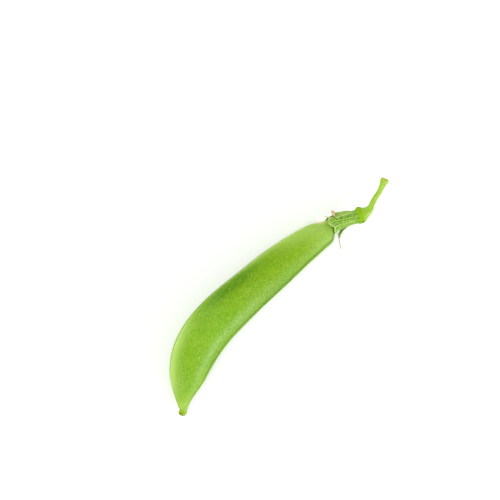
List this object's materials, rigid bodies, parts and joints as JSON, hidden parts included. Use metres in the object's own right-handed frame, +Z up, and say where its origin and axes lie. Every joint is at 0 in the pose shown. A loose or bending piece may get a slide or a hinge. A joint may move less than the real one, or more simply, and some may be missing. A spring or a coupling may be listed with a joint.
{
  "type": "sugar snap pea",
  "caption": "Fresh plump pea pod, curved, with a pointed beak, a calyx of thin sepals and a cut stalk, lying on its broad side.",
  "frame": {"origin": "on the surface the pod lies on, under the middle of the bounding box", "axes": "+X from the beak to the cut end of the stalk, +Y to the pod's rounded back, +Z up"},
  "size_m": [0.0976, 0.0232, 0.0105],
  "materials": {
    "pod_skin": "satin, waxy",
    "withered_style": "matt, shrivelled",
    "dried_stamens": "matt, papery",
    "calyx": "matt",
    "sepals": "matt, veined",
    "stalk": "matt"
  },
  "bodies": {
    "root": {"style_remnant": "withered_style", "pod": "pod_skin", "stamen_sheath": "dried_stamens", "calyx_cup": "calyx", "sepal_back": "sepals", "sepal_side_upper": "sepals", "sepal_belly_upper": "sepals", "sepal_belly_lower": "sepals", "sepal_side_lower": "sepals", "pedicel": "stalk"}
  },
  "joints": []
}
